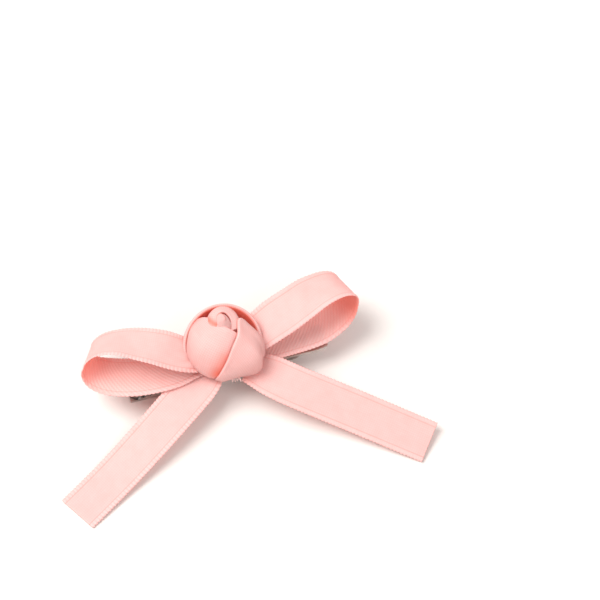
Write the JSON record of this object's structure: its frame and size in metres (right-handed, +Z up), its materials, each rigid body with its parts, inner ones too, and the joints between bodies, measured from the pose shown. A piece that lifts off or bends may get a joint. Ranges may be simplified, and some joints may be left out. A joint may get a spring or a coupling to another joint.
{
  "type": "hair barrette",
  "caption": "Ribbon bow barrette: satin loops and tails with a folded rosette, glued to a flat sprung steel hair clip that opens when its thumb lever is pressed.",
  "frame": {"origin": "on the flat underside of the jaw, under the rosette", "axes": "+X along the clip towards the thumb end, +Y to the back of the bow, away from the tails, +Z up out of the rosette"},
  "size_m": [0.0875, 0.0482, 0.02],
  "materials": {
    "plate_steel": "nickel plated, satin",
    "jaw_steel": "nickel plated, satin",
    "pin_steel": "nickel plated",
    "spring_wire": "drawn wire, bright",
    "satin_ribbon": "pale pink satin, woven selvages, twill reverse",
    "satin_rosette": "pale pink satin, folded",
    "binding_thread": "pink polyester thread",
    "adhesive": "clear amber hot-melt glue"
  },
  "bodies": {
    "plate": {"top_plate": "plate_steel", "hinge_pin": "pin_steel", "torsion_spring": "spring_wire", "glue_on_clip": "adhesive", "tail_left": "satin_ribbon", "tail_right": "satin_ribbon", "loop_left": "satin_ribbon", "loop_right": "satin_ribbon", "bow_centre": "satin_ribbon", "thread_binding": "binding_thread", "glue_under_rosette": "adhesive", "rose_bud": "satin_rosette", "rose_inner_wrap": "satin_rosette", "rose_petal_back": "satin_rosette", "rose_petal_front": "satin_rosette", "rose_petal_right": "satin_rosette", "rose_raw_end": "satin_rosette"},
    "jaw": {"lower_jaw": "jaw_steel"}
  },
  "joints": [
    {"name": "jaw_hinge", "type": "hinge", "parent": "plate", "child": "jaw", "pos_m": [0.0085, 0, 0.0033], "axis": [0, -1, 0], "range_deg": [0, 15], "stiffness_Nm_per_rad": 0.06, "springref_deg": -22.92, "deforming": ["torsion_spring"]}
  ]
}
